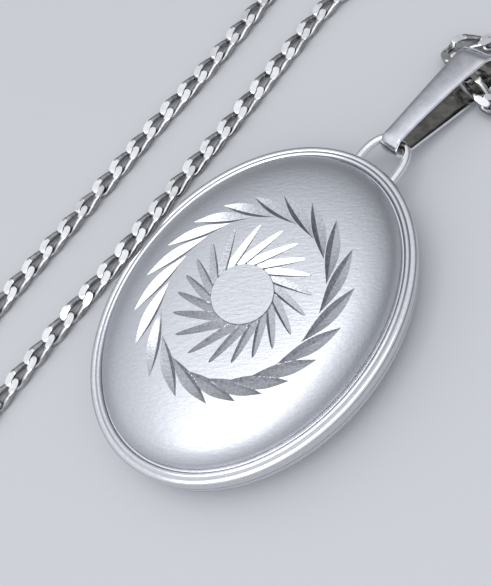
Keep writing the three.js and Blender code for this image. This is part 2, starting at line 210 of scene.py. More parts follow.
SATIN = silver("satin_silver", (0.58, 0.59, 0.62), (0.54, 0.55, 0.59), 0.40, 5200, 0.000030,
               (0.35, 1, 1), 0.69, 5000)
CUT = silver("bright_cut_silver", (0.60, 0.61, 0.64), (0.44, 0.45, 0.48), 0.24, 6200, 0.000024,
             (0.16, 1, 1), 0.9, 6000)
# The steep walls of the cut leaves are painted dark grey: painted shade in the cuts, not the silver's own
# colour.
CUT_WALL_SHADE = silver("cut_wall_painted_shade", (0.34, 0.34, 0.37), (0.18, 0.18, 0.21), 0.46, 6200, 0.000016,
                  patches=5200)
POLISHED = silver("polished_silver", (0.86, 0.86, 0.87), (0.79, 0.79, 0.80), 0.16, 3400, 0.000006,
                  patches=3200)
# The bail's silver is tinted a little blue: a painted reflection of blue-grey surroundings on its own silver
# colour.
BAIL = silver("bail_silver", (0.86, 0.86, 0.90), (0.75, 0.74, 0.80), 0.14, 2600, 0.000005,
              (1, 0.2, 1), patches=1600)
CHAIN = silver("chain_silver", (0.93, 0.93, 0.93), (0.80, 0.79, 0.79), 0.13, 3600, 0.000004)
# The round wire of each link, beside its filed flats, is painted darker: painted shade between the links.
CHAIN_ROUND_SHADE = silver("chain_round_painted_shade", (0.46, 0.46, 0.47), (0.26, 0.255, 0.255), 0.20,
                     3600, 0.000004)
# The strap's inner face is painted dark: painted shade inside the fold, where little light reaches.
BAIL_INSIDE_SHADE = silver("bail_inside_painted_shade", (0.34, 0.33, 0.30), (0.17, 0.165, 0.14), 0.16,
                     2000, 0.000008, (1, 0.2, 1))
RIM = silver("rim_silver", (0.68, 0.68, 0.71), (0.63, 0.63, 0.66), 0.18, 3400, 0.000005, patches=3200)
FRAME = silver("frame_silver", (0.72, 0.70, 0.66), (0.60, 0.57, 0.52), 0.26, 3600, 0.000008, patches=3600)
STEEL = silver("spring_steel", (0.52, 0.53, 0.56), (0.36, 0.36, 0.39), 0.25, 5200, 0.000004)
CARD = paper("card")
SHEET = clear("clear_sheet")

# ---------------------------------------------------------------- building pieces


def piece(name, points, faces, material, body, slot, replaces=(), sharp=35, others=(), kinds=None):
    """A mesh piece from points in millimetres, riding on a CAD body.

    kinds says which faces have the other materials.
    """
    mesh = bpy.data.meshes.new(name)
    mesh.from_pydata([tuple(float(c) * MM for c in p) for p in points], [], [tuple(f) for f in faces])
    mesh.materials.append(material)
    for other in others:
        mesh.materials.append(other)
    for i, kind in (kinds or {}).items():
        mesh.polygons[i].material_index = kind
    work = bmesh.new()
    work.from_mesh(mesh)
    bmesh.ops.recalc_face_normals(work, faces=work.faces)
    work.to_mesh(mesh)
    work.free()
    mesh.shade_smooth()
    mesh.set_sharp_from_angle(angle=math.radians(sharp))
    made = bpy.data.objects.new(name, mesh)
    bpy.context.scene.collection.objects.link(made)
    if body:
        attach(made, body)
    if replaces:
        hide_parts(*replaces)
    return made


def bands(rings, closed=False, around=True):
    """Faces between rings of the same count, whose points follow one another in one list."""
    count = len(rings[0])
    faces = []
    for r in range(len(rings) if closed else len(rings) - 1):
        low, high = r * count, ((r + 1) % len(rings)) * count
        for c in range(count if around else count - 1):
            d = (c + 1) % count
            faces.append((low + c, low + d, high + d, high + c))
    return faces


def solid_of(rings, closed=False, caps=False):
    points = [p for ring in rings for p in ring]
    faces = bands(rings, closed)
    if caps:
        faces += [tuple(range(len(rings[0])))[::-1], tuple(range(len(points) - len(rings[0]), len(points)))]
    return points, faces


def oval(inset, z, scale=1.0, count=AROUND):
    """A ring a given distance inside the locket's outline, then scaled about the middle."""
    ring = []
    for i in range(count):
        c, s = math.cos(TAU * i / count), math.sin(TAU * i / count)
        n = Vector((c / HALF_WIDTH, s / HALF_LENGTH)).normalized()
        ring.append(((HALF_WIDTH * c - inset * n.x) * scale, (HALF_LENGTH * s - inset * n.y) * scale, z))
    return ring


def smooth_line(points, step):
    """The centripetal curve through the points, as points a given distance apart, and its length."""
    p = [np.array(q, float) for q in points]
    p = [2 * p[0] - p[1], *p, 2 * p[-1] - p[-2]]
    dense = []
    for p0, p1, p2, p3 in zip(p, p[1:], p[2:], p[3:]):
        t1 = np.linalg.norm(p1 - p0) ** 0.5
        t2 = t1 + np.linalg.norm(p2 - p1) ** 0.5
        t3 = t2 + np.linalg.norm(p3 - p2) ** 0.5
        for t in np.linspace(t1, t2, 12, endpoint=False):
            a = p0 + (p1 - p0) * t / t1
            b = p1 + (p2 - p1) * (t - t1) / (t2 - t1)
            c = p2 + (p3 - p2) * (t - t2) / (t3 - t2)
            d = a + (b - a) * t / t2
            e = b + (c - b) * (t - t1) / (t3 - t1)
            dense.append(d + (e - d) * (t - t1) / (t2 - t1))
    dense = np.array([*dense, p[-2]])
    along = np.concatenate([[0], np.cumsum(np.linalg.norm(np.diff(dense, axis=0), axis=1))])
    at = np.linspace(0, along[-1], max(2, round(along[-1] / step) + 1))
    return np.stack([np.interp(at, along, dense[:, k]) for k in range(3)], axis=1), along[-1]


def tube(line, radius, sides=14):
    """Rings round a line, carried along it without twisting."""
    line = [Vector(p) for p in line]
    side = Vector((0, 0, 1))
    rings = []
    for i, p in enumerate(line):
        ahead = (line[min(i + 1, len(line) - 1)] - line[max(i - 1, 0)]).normalized()
        side = (side - ahead * side.dot(ahead)).normalized()
        other = ahead.cross(side)
        r = radius[i] if hasattr(radius, "__len__") else radius
        rings.append([p + side * r * math.cos(TAU * k / sides) + other * r * math.sin(TAU * k / sides)
                      for k in range(sides)])
    return rings


def block(low, high):
    x0, y0, z0 = low
    x1, y1, z1 = high
    points = [(x, y, z) for z in (z0, z1) for x, y in ((x0, y0), (x1, y0), (x1, y1), (x0, y1))]
    return points, [(3, 2, 1, 0), (4, 5, 6, 7), (0, 1, 5, 4), (1, 2, 6, 5), (2, 3, 7, 6), (3, 0, 4, 7)]


def cut_out(target, solids):
    """Takes solids, each as its points and faces, out of a piece's mesh."""
    for points, faces in solids:
        mesh = bpy.data.meshes.new("cutter")
        mesh.from_pydata([tuple(c * MM for c in p) for p in points], [], faces)
        cutter = bpy.data.objects.new("cutter", mesh)
        bpy.context.scene.collection.objects.link(cutter)
        step = target.modifiers.new("cut", "BOOLEAN")
        step.operation, step.object, step.solver = "DIFFERENCE", cutter, "EXACT"
        bpy.context.view_layer.update()
        seen = target.evaluated_get(bpy.context.evaluated_depsgraph_get())
        result = bpy.data.meshes.new_from_object(seen)
        target.modifiers.clear()
        target.data = result
        bpy.data.objects.remove(cutter)


# ---------------------------------------------------------------- chain

# A link: half length, half width and twist of its wire's middle line, wire radius, half filed thickness
LINK_PITCH = 2.08
LINK_HALF, LINK_SIDE, LINK_TWIST, LINK_WIRE, LINK_FILED = 1.31, 0.47, -0.33, 0.265, 0.31
LINK_SETTLE, LINK_LOWEST = 0.20, 0.01
WIRE_STEPS = 36


def curb_link():
    """One link of curb chain: an oval of wire, twisted to lie flat among its neighbours, and filed."""

    def middle(t):
        c, s = math.cos(t), math.sin(t)
        return Vector((LINK_HALF * math.copysign(abs(c) ** 0.8, c),
                       LINK_SIDE * math.copysign(abs(s) ** 0.85, s),
                       LINK_TWIST * math.sin(2 * t)))

    rings = []
    for i in range(WIRE_STEPS):
        t = TAU * (i + 0.5) / WIRE_STEPS
        ahead = (middle(t + 0.03) - middle(t - 0.03)).normalized()
        side = ahead.cross(Vector((0, 0, 1))).normalized()
        other = side.cross(ahead)
        # the file's plane meets the wire at these angles above and below its middle
        above, below = (
            math.asin(max(-0.9, min(0.9, (LINK_FILED + way * middle(t).z) / (LINK_WIRE * other.z))))
            for way in (-1, 1))
        half = math.pi / 2
        angles = [0, above / 2, above, half, 2 * half - above, 2 * half - above / 2,
                  2 * half, 2 * half + below / 2, 2 * half + below,
                  3 * half, 4 * half - below, 4 * half - below / 2]
        ring = []
        for a in angles:
            q = middle(t) + (side * math.cos(a) + other * math.sin(a)) * LINK_WIRE
            q.z = max(-LINK_FILED, min(LINK_FILED, q.z))
            ring.append(q)
        rings.append(ring)
    return np.array([tuple(q) for ring in rings for q in ring]), bands(rings, closed=True)


LINK_POINTS, LINK_FACES = curb_link()
LINK_ROUND = [not all(abs(LINK_POINTS[v][2]) > LINK_FILED - 1e-6 for v in face) for face in LINK_FACES]


def chain(name, line, roll, replaces, body):
    """Links along a line of points, each one turned a little about the chain, as a chain lies."""
    line, length = smooth_line(line, 0.1)
    count = round(length / LINK_PITCH)
    along = np.linspace(0, length, len(line))
    points, faces = [], []
    for i in range(count):
        at = (i + 0.5) * length / count
        ends = [Vector([np.interp(at + d, along, line[:, k]) for k in range(3)]) for d in (-0.7, 0.7)]
        place = Vector([np.interp(at, along, line[:, k]) for k in range(3)]) - Vector((0, 0, LINK_SETTLE))
        ahead = (ends[1] - ends[0]).normalized()
        turned = roll * (math.sin(at * 0.31 + 1.0) + 0.6 * math.sin(at * 0.83 + 2.0)
                         + 0.25 * math.sin(i * 2.4))
        up = Vector((0, 0, 1))
        up = (up - ahead * up.dot(ahead)).normalized()
        side = up.cross(ahead)
        up, side = (up * math.cos(turned) + side * math.sin(turned),
                    side * math.cos(turned) - up * math.sin(turned))
        basis = np.array([ahead, side, up])
        faces += [tuple(v + len(points) for v in f) for f in LINK_FACES]
        link = LINK_POINTS @ basis + np.array(place)
        link[:, 2] += max(0.0, LINK_LOWEST - link[:, 2].min())
        points += list(link)
    # The round faces take the second material, the painted shade between the links.
    shaded_round = {i: 1 for i, round_face in enumerate(LINK_ROUND * count) if round_face}
    made = piece(name, points, faces, CHAIN, body, "chain_silver", replaces, 50, (CHAIN_ROUND_SHADE,), shaded_round)
    return made, line


AT_BAIL = [
    (7.6, 30.95, 0.9), (8.2, 29.4, 0.6), (9.0, 27.5, CHAIN_Z), (8.8, 25.3, CHAIN_Z), (7.2, 23.6, CHAIN_Z),
    (5.2, 22.7, 0.7), (3.5, 22.4, 1.1), (2.0, 22.7, 1.6),
    (0.8, 23.2, 1.8), (-0.3, 23.7, 1.7), (-1.3, 24.5, 1.3),
    (-1.4, 25.7, 0.8), (-0.4, 26.8, 0.6), (1.1, 27.6, CHAIN_Z), (2.2, 28.9, CHAIN_Z), (2.2, 30.6, CHAIN_Z),
    (1.1, 32.0, CHAIN_Z), (-0.8, 32.7, CHAIN_Z), (-2.8, 32.5, CHAIN_Z),
]
STRANDS = [
    (-3.15, 32.43), (-5.0, 31.6), (-7.4, 30.2), (-10.0, 28.9), (-12.0, 27.0), (-12.75, 24.2), (-12.8, 19.0),
    (-12.65, 12.0), (-12.75, 5.0), (-12.6, -2.0), (-12.7, -9.0),
    (-12.65, -15.3), (-12.6, -18.0), (-13.6, -20.4),
    (-15.6, -21.4), (-17.6, -20.2), (-18.4, -17.6), (-18.2, -14.0),
    (-18.15, -8.0), (-18.0, 0.0), (-17.95, 8.0),
    (-17.75, 15.0), (-17.85, 21.8), (-18.4, 28.0), (-18.75, 36.5),
]
TAIL = [(0.65, 39.8, 1.62), (0.75, 37.1, 1.5), (1.2, 36.6, 1.35), (1.9, 36.15, 1.15), (2.8, 35.75, 1.0)]


def coil_route():
    """Into the coil at its left, inwards on the table, outwards on top of that, and off to the clasp."""
    route = [(-18.75, 36.7, CHAIN_Z), (-18.98, 39.6, CHAIN_Z)]
    steps = round(COIL_TURNS * 24)
    for i in range(steps + 1):
        share = i / steps
        angle = math.pi - TAU * COIL_TURNS * share
        inward = min(2 * share, 2 - 2 * share)
        radius = COIL_OUTER - (COIL_OUTER - COIL_INNER) * inward
        climb = min(1, max(0, (share - 0.5) / 0.04 + 0.5))
        route.append((COIL_X + radius * math.cos(angle), COIL_Y + radius * math.sin(angle),
                      CHAIN_Z + COIL_LAYER * climb))
    return route + TAIL


def clasp_place(rings):
    centre = Matrix.Translation((CLASP_X, CLASP_Y, CLASP_Z))
    turn = centre @ Matrix.Rotation(math.radians(CLASP_TURN), 4, "Z")
    return [[turn @ q for q in ring] for ring in rings]


def hoop_ring(degrees, radius, sides=20):
    """A ring round the hoop's tube at one angle."""
    a = math.radians(degrees)
    ahead = Vector((math.cos(a), math.sin(a), 0))
    return [ahead * (HOOP_RADIUS + radius * math.cos(TAU * k / sides))
            + Vector((0, 0, radius * math.sin(TAU * k / sides))) for k in range(sides)]


def torus(radius, wire, place, steps=40, sides=14):
    rings = []
    for i in range(steps):
        a = TAU * i / steps
        ahead = Vector((math.cos(a), math.sin(a), 0))
        rings.append([place @ (ahead * (radius + wire * math.cos(TAU * k / sides))
                               + Vector((0, 0, wire * math.sin(TAU * k / sides)))) for k in range(sides)])
    return rings


def joined(*solids):
    """Several solids as the points and faces of one piece."""
    points, faces = [], []
    for some_points, some_faces in solids:
        faces += [tuple(v + len(points) for v in f) for f in some_faces]
        points += some_points
    return points, faces


def clasp_hoop():
    """The hollow hoop, open where the bolt crosses, with its ends softened and a small eye behind."""
    rings = [hoop_ring(a, HOOP_BORE) for a in np.linspace(166, 20, 30)]
    rings += [hoop_ring(20, HOOP_TUBE - 0.05), hoop_ring(20.7, HOOP_TUBE - 0.01)]
    rings += [hoop_ring(a, HOOP_TUBE) for a in np.linspace(21.5, 333.5, 72)]
    rings += [hoop_ring(334.3, HOOP_TUBE - 0.01), hoop_ring(335, HOOP_TUBE - 0.05),
              hoop_ring(335, HOOP_BORE), hoop_ring(327, HOOP_BORE)]
    eye = torus(EYE_RADIUS, RING_WIRE, Matrix.Translation((-EYE_REACH, 0, 0)))
    return joined(solid_of(clasp_place(rings), caps=True), solid_of(clasp_place(eye), closed=True))


def clasp_slide():
    """The rod that closes the hoop, with a round nose, and the lever that the thumb draws back."""
    reach = HOOP_BORE - 0.05
    rings = [hoop_ring(-20 - 0.5 + 2.4 * u, reach * math.sqrt(max(0.02, 1 - (1 - u) ** 2)), 16)
             for u in (0, 0.15, 0.35, 0.6, 0.85)]
    rings += [hoop_ring(a, reach, 16) for a in np.linspace(-17.5, TAB_ANGLE + 2, 24)]
    a = math.radians(TAB_ANGLE)
    out, over = Vector((math.cos(a), math.sin(a), 0)), Vector((-math.sin(a), math.cos(a), 0))
    lever = []
    for reach, half in ((2.15, 0.09), (2.5, 0.085), (2.68, 0.09), (2.78, 0.105), (2.86, 0.11), (2.93, 0.10),
                        (2.98, 0.07), (3.0, 0.03)):
        lever.append([out * reach + over * half * math.cos(TAU * k / 14)
                      + Vector((0, 0, half * math.sin(TAU * k / 14))) for k in range(14)])
    return joined(solid_of(clasp_place(rings), caps=True), solid_of(clasp_place(lever), caps=True))


def tab_slot():
    """The room in the hoop's outer wall that the lever travels along."""
    rings = []
    for i in range(13):
        a = math.radians(TAB_ANGLE - 5 + 50 * i / 12)
        ahead = Vector((math.cos(a), math.sin(a), 0))
        rings.append([ahead * r + Vector((0, 0, z))
                      for r, z in ((2.2, -0.15), (2.7, -0.15), (2.7, 0.15), (2.2, 0.15))])
    return solid_of(clasp_place(rings), caps=True)


def spring():
    """A close coil of fine wire behind the rod, along the hoop's bore."""
    line = []
    for i in range(SPRING_TURNS * 14 + 1):
        share = i / (SPRING_TURNS * 14)
        a, b = math.radians(SPRING_FROM + (SPRING_TO - SPRING_FROM) * share), TAU * SPRING_TURNS * share
        r = HOOP_RADIUS + 0.17 * math.cos(b)
        line.append((r * math.cos(a), r * math.sin(a), 0.17 * math.sin(b)))
    return tube(line, 0.045, 8)


def standing(reach, degrees):
    return Matrix.Rotation(math.radians(degrees), 4, "Z") @ Matrix.Translation((reach, 0, 0)) \
        @ Matrix.Rotation(math.pi / 2, 4, "X")


hoop = piece("clasp_hoop", *clasp_hoop(), POLISHED, "back_half", "chain_silver", ["clasp_body"], sharp=40)
cut_out(hoop, [tab_slot()])
slide = piece("clasp_slide", *clasp_slide(), POLISHED, "clasp_bolt", "chain_silver",
              ["clasp_bolt"], sharp=40)
jump_rings = clasp_place(torus(0.62, 0.15, standing(EYE_REACH + EYE_RADIUS, 180)))
hoop_link = piece("clasp_jump_ring", *solid_of(jump_rings, closed=True), CHAIN,
                  "back_half", "chain_silver", ["clasp_eye_ring"])
last_rings = clasp_place(torus(0.75, RING_WIRE, standing(HOOP_RADIUS + 0.05, 300)))
last_link = piece("last_chain_ring", *solid_of(last_rings, closed=True), CHAIN,
                  "back_half", "chain_silver", ["end_ring"])

coil_spring = piece("clasp_coil_spring", *solid_of(clasp_place(spring()), caps=True), STEEL, None,
                    "spring_steel", ["clasp_spring"], sharp=60)
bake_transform(coil_spring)

at_bail, at_bail_line = chain("chain_at_bail_links", AT_BAIL, 0.10, ["chain_at_bail"], None)
strands, strands_line = chain(
    "chain_strand_links", [(x, y, CHAIN_Z) for x, y in STRANDS], 0.10, ["chain_strands"], "back_half")
stored, stored_line = chain(
    "chain_stored_links", coil_route(), 0.04, ["chain_coil", "chain_tail"], "back_half")
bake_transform(at_bail)

# ---------------------------------------------------------------- stage and light


TABLE_HALF, TABLE_Z = 20, -0.00003  # metres; a hair under the locket, so that no faces coincide


def add_stage():
    corners = [(x * TABLE_HALF, y * TABLE_HALF, TABLE_Z) for x, y in ((-1, -1), (1, -1), (1, 1), (-1, 1))]
    mesh = bpy.data.meshes.new("table")
    mesh.from_pydata(corners, [], [(0, 1, 2, 3)])
    mesh.materials.append(plain("table_top", (0.49, 0.50, 0.52), 0.6))
    table = bpy.data.objects.new("table", mesh)
    bpy.context.scene.collection.objects.link(table)
    table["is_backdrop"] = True


def add_light(name, place, target, width, length, power):
    data = bpy.data.lights.new(name, "AREA")
    data.shape, data.size, data.size_y, data.energy = "RECTANGLE", width, length, power
    lamp = bpy.data.objects.new(name, data)
    lamp.location = place
    lamp.rotation_euler = (Vector(target) - Vector(place)).to_track_quat("-Z", "Y").to_euler()
    bpy.context.scene.collection.objects.link(lamp)


SKY_BRIGHTEST = (0.05, -0.36, 0.93)
SKY_DARK_AT, SKY_BRIGHT_AT = -0.05, 0.74  # cosine of the angle away from the brightest direction
SKY_LEAST, SKY_MOST = 0.26, 1.0


def add_sky():
    """A soft sky that is brightest above and a little towards -Y, as the cut leaves show it."""
    world = bpy.data.worlds.new("studio")
    world.use_nodes = True
    sky = world.node_tree
    background = sky.nodes["Background"]
    background.inputs["Color"].default_value = (0.92, 0.95, 1.0, 1)
    around = sky.nodes.new("ShaderNodeTexCoord")
    along = sky.nodes.new("ShaderNodeVectorMath")
    along.operation = "DOT_PRODUCT"
    along.inputs[1].default_value = SKY_BRIGHTEST
    lift = sky.nodes.new("ShaderNodeMapRange")
    lift.interpolation_type = "SMOOTHSTEP"
    sky.links.new(around.outputs["Generated"], along.inputs[0])
    sky.links.new(along.outputs["Value"], lift.inputs["Value"])
    sky.links.new(lift.outputs[0], background.inputs["Strength"])
    for socket, value in (("From Min", SKY_DARK_AT), ("From Max", SKY_BRIGHT_AT),
                          ("To Min", SKY_LEAST), ("To Max", SKY_MOST)):
        lift.inputs[socket].default_value = value
    bpy.context.scene.world = world


add_stage()
add_light("key", (0.04, -0.09, 0.39), (0, 0, 0), 0.28, 0.42, 0.86)
add_sky()
bpy.context.scene.view_settings.view_transform = "Standard"

# ---------------------------------------------------------------- the engraved front cover

WREATH_X, WREATH_Y = 6.72, 7.81
DISC = 2.08
DISC_SLOPE = 0.04
LEAVES = 20
RELIEF_EDGE = 0.86
CUT_STEP = 20
FINE_STEP = 0.07


def crown(scale, flat):
    u = max(0.0, (scale - flat) / (1 - flat))
    return max(0.0, 1 - u ** (2.4 if flat else 4)) ** 0.4545


def dome(x, y):
    """Height of the front cover above the table, without its engraving."""
    scale = math.hypot(x / (HALF_WIDTH - FLANGE), y / (HALF_LENGTH - FLANGE))
    return SEAM_Z + FOOT_RISE + (FRONT_RISE - FOOT_RISE) * crown(min(scale, 1), 0)


def at(degrees, share):
    a = math.radians(degrees)
    return Vector((WREATH_X * share * math.cos(a), WREATH_Y * share * math.sin(a)))


def wreath_swell(u):
    return np.sin(math.pi * u ** 0.95) ** 1.1


def daisy_width(u):
    return 0.68 * (1 - u) ** 0.55 * (1 + 0.35 * u)


class Leaf:
    """One cut leaf: two slopes that meet in a deepest line, with its edges either side of a chord."""

    def __init__(self, start, end, left, right, valley, depth):
        self.start, self.chord = start, end - start
        self.length = self.chord.length
        self.side = Vector((-self.chord.y, self.chord.x)) / self.length
        self.left, self.right, self.valley, self.depth = left, right, valley, depth

    def line(self, offset):
        return [self.start + self.chord * u + self.side * float(offset(u))
                for u in np.linspace(0, 1, CUT_STEP + 1)]

    def outline(self):
        return self.line(self.left) + self.line(lambda u: -self.right(u))[-2:0:-1]

    def deepest(self):
        return self.line(self.valley)

    def cut(self, points):
        """How deep the leaf is at each point, and whether the point is on its steep side."""
        x, y = points[:, 0] - self.start.x, points[:, 1] - self.start.y
        u = (x * self.chord.x + y * self.chord.y) / self.length ** 2
        w = x * self.side.x + y * self.side.y
        held = np.clip(u, 1e-6, 1 - 1e-6)
        left, right, valley, depth = self.left(held), self.right(held), self.valley(held), self.depth(held)
        rise = np.where(w > valley, (left - w) / (left - valley), (w + right) / (valley + right))
        deep = np.where((u > 0) & (u < 1), depth * np.clip(rise, 0, 1), 0)
        return deep, (w > valley) == (left - valley < valley + right)


def wreath_leaf(k):
    """One long leaf of the outer wreath, from its tip to where it runs in under the next one."""
    turn = math.radians(18 * k)
    swing = 2.6 * math.cos(turn + 2.7) + 3.5 * math.cos(2 * turn - 2.7) + 1.1 * math.cos(3 * turn - 1.75)
    tip = at(18 * k + 19.1 + swing, 1.0 + 0.037 * math.cos(2 * turn - 0.84) + 0.015 * math.cos(turn + 2.9))
    end = at(18 * k - 18.5 + swing, 0.765 + 0.02 * math.cos(turn + 0.6))
    return Leaf(tip, end, lambda u: 0.54 * wreath_swell(u), lambda u: 0.36 * wreath_swell(u),
                lambda u: -0.05 * wreath_swell(u), lambda u: 0.24 * wreath_swell(u) ** 0.8)


def daisy_leaf(k):
    """One leaf of the inner daisy, from under the plain disc in the middle out to its tip."""
    turn = math.radians(18 * k)
    swing = 2.5 * math.cos(turn + 1.69) + 3.4 * math.cos(2 * turn + 1.42) + 1.7 * math.cos(3 * turn - 1.5)
    tip = at(18 * k + 11.8 + swing, 0.645 + 0.02 * math.cos(3 * turn))
    a = math.radians(18 * k + 48)
    base = Vector((math.cos(a), math.sin(a))) * (DISC - 0.12)
    return Leaf(base, tip, lambda u: 0.62 * daisy_width(u), lambda u: 0.38 * daisy_width(u),
                lambda u: -0.12 * daisy_width(u), lambda u: 0.16 * (1 - u) ** 0.45 * (0.65 + 0.7 * u))


def inside(points, outline):
    """Which points lie inside a closed outline."""
    x, y = points[:, 0], points[:, 1]
    odd = np.zeros(len(points), bool)
    for a, b in zip(outline, outline[1:] + outline[:1]):
        if a.y != b.y:
            odd ^= ((a.y > y) != (b.y > y)) & (x < (b.x - a.x) * (y - a.y) / (b.y - a.y) + a.x)
    return odd


def engraved_front():
    """The dome as triangles that follow every edge and deepest line of the cut leaves."""
    flat, edges = [], []
    where = {}

    def point(q):
        key = (round(q.x, 4), round(q.y, 4))
        if key not in where:
            where[key] = len(flat)
            flat.append(Vector((q.x, q.y)))
        return where[key]

    def loop_of(half_x, half_y, count):
        ids = [point(Vector((half_x * math.cos(TAU * i / count), half_y * math.sin(TAU * i / count))))
               for i in range(count)]
        edges.extend(zip(ids, ids[1:] + ids[:1]))
        return ids

    half_x, half_y = (HALF_WIDTH - FLANGE) * RELIEF_EDGE, (HALF_LENGTH - FLANGE) * RELIEF_EDGE
    border = loop_of(half_x, half_y, AROUND)
    loop_of(DISC, DISC, 96)
    loop_of(DISC + DISC_SLOPE, DISC + DISC_SLOPE, 96)
    leaves = [wreath_leaf(k) for k in range(LEAVES)] + [daisy_leaf(k) for k in range(LEAVES)]
    outlines = [leaf.outline() for leaf in leaves]
    for leaf, outline in zip(leaves, outlines):
        ids = [point(q) for q in outline]
        edges += list(zip(ids, ids[1:] + ids[:1]))
        ids = [point(q) for q in leaf.deepest()]
        edges += list(zip(ids, ids[1:]))
    lines = np.array(flat)
    step = 0.24
    rows = int(half_y / (step * 0.866)) + 1
    grid = np.array([((c + 0.5 * (r % 2)) * step, r * step * 0.866)
                     for r in range(-rows, rows + 1) for c in range(-rows, rows + 1)])
    grid = grid[np.hypot(grid[:, 0] / half_x, grid[:, 1] / half_y) < 0.985]
    keep = np.ones(len(grid), bool)
    for outline in outlines:
        keep &= ~inside(grid, outline)
    for q in lines:
        keep &= np.hypot(grid[:, 0] - q[0], grid[:, 1] - q[1]) > 0.09
    for q in grid[keep]:
        point(Vector(q))
    # finer points where two leaves overlap, so that the edge between their slopes is a clean one
    for a, b in [(k, (k + 1) % LEAVES) for k in range(LEAVES)] + [
            (LEAVES + k, LEAVES + (k + 1) % LEAVES) for k in range(LEAVES)]:
        corners = np.array([tuple(q) for q in outlines[a]])
        low, high = corners.min(axis=0), corners.max(axis=0)
        spots = np.array([(x, y) for x in np.arange(low[0], high[0], FINE_STEP)
                          for y in np.arange(low[1], high[1], FINE_STEP)])
        shared = inside(spots, outlines[a]) & inside(spots, outlines[b])
        for q in spots[shared]:
            off_disc = np.hypot(q[0], q[1]) > DISC + 2 * DISC_SLOPE
            if off_disc and np.hypot(*(lines - q).T).min() > 0.4 * FINE_STEP:
                point(Vector(q))
    made, _, faces, origin, _, _ = delaunay_2d_cdt(flat, edges, [], 0, 1e-6)

    def cut(places):
        """The deepest cut at each place, and whether it's a steep side."""
        deep, steep = np.zeros(len(places)), np.zeros(len(places), bool)
        for leaf in leaves:
            d, s = leaf.cut(places)
            steep = np.where(d > deep, s, steep)
            deep = np.maximum(deep, d)
        share = np.clip((np.hypot(places[:, 0], places[:, 1]) - DISC) / DISC_SLOPE, 0, 1)
        return deep * share, steep | (share < 1)

    deep, _ = cut(np.array(made))
    points = [(v.x, v.y, dome(v.x, v.y) - d) for v, d in zip(made, deep)]
    new_place = {i: n for n, ids in enumerate(origin) for i in ids}
    centres = np.array([np.mean([made[v] for v in f], axis=0) for f in faces])
    centre_deep, steep = cut(centres)
    # Faces on a steep wall take the third material, the painted shade of the cuts.
    kind = np.where(centre_deep > 1e-4, np.where(steep, 2, 1), 0)
    faces = [tuple(f) for f in faces]
    last = [new_place[i] for i in border]
    foot_x, foot_y = HALF_WIDTH - FLANGE, HALF_LENGTH - FLANGE

    def ring(scale, z, shrink=0.0):
        start = len(points)
        points.extend(((foot_x - shrink) * scale * math.cos(TAU * i / AROUND),
                       (foot_y - shrink) * scale * math.sin(TAU * i / AROUND), z) for i in range(AROUND))
        return list(range(start, start + AROUND))

    rings = [(s, SEAM_Z + FOOT_RISE + (FRONT_RISE - FOOT_RISE) * crown(s, 0), 0)
             for s in (0.885, 0.91, 0.93, 0.95, 0.965, 0.977, 0.987, 0.994, 0.998, 1.0)]
    inner_rise = FRONT_RISE - FOOT_RISE - SHELL_WALL
    rings += [(s, SEAM_Z + FOOT_RISE + inner_rise * crown(s, 0), SHELL_WALL)
              for s in (1.0, 0.99, 0.96, 0.9, 0.8, 0.6, 0.3)]
    for scale, z, shrink in rings:
        now = ring(scale, z, shrink)
        faces += [(last[i], last[(i + 1) % AROUND], now[(i + 1) % AROUND], now[i]) for i in range(AROUND)]
        last = now
    faces.append(tuple(last))
    return points, faces, {i: int(k) for i, k in enumerate(kind) if k}


points, faces, kinds = engraved_front()
piece("engraved_front_cover", points, faces, SATIN, "front_cover", "satin_silver", ["front_shell"],
      sharp=7, others=(CUT, CUT_WALL_SHADE), kinds=kinds)

# ---------------------------------------------------------------- back cover, rims and the parts inside

rings = [oval(FLANGE, SEAM_Z - FOOT_RISE - (BACK_RISE - FOOT_RISE) * crown(s, BACK_FLAT), s)
         for s in (0.3, 0.6, 0.66, 0.72, 0.78, 0.83, 0.87, 0.905, 0.935, 0.96, 0.978, 0.99, 0.997, 1.0)]
inside_rise = BACK_RISE - FOOT_RISE - SHELL_WALL
rings += [oval(FLANGE + SHELL_WALL, SEAM_Z - FOOT_RISE - inside_rise * crown(s, BACK_FLAT), s)
          for s in (1.0, 0.98, 0.94, 0.87, 0.75, 0.6, 0.3)]
piece("back_cover", *solid_of(rings, caps=True), SATIN, "back_half", "satin_silver",
      ["back_shell"], sharp=60)

RIM_SECTION = [
    (0, 0.03), (0, 0.35), (0, 0.68), (0.03, 0.78), (0.10, 0.885), (0.19, 0.945), (0.30, 0.97), (0.40, 0.955),
    (0.45, 0.94), (0.49, 0.965), (0.54, 1.02), (0.61, 1.055), (0.68, 1.063), (0.75, 1.045), (0.81, 1.0),
    (0.87, 0.91), (0.9, 0.8), (1.9, 0.8), (1.9, 0.64), (1.5, 0.64), (1.5, 0.03),
]


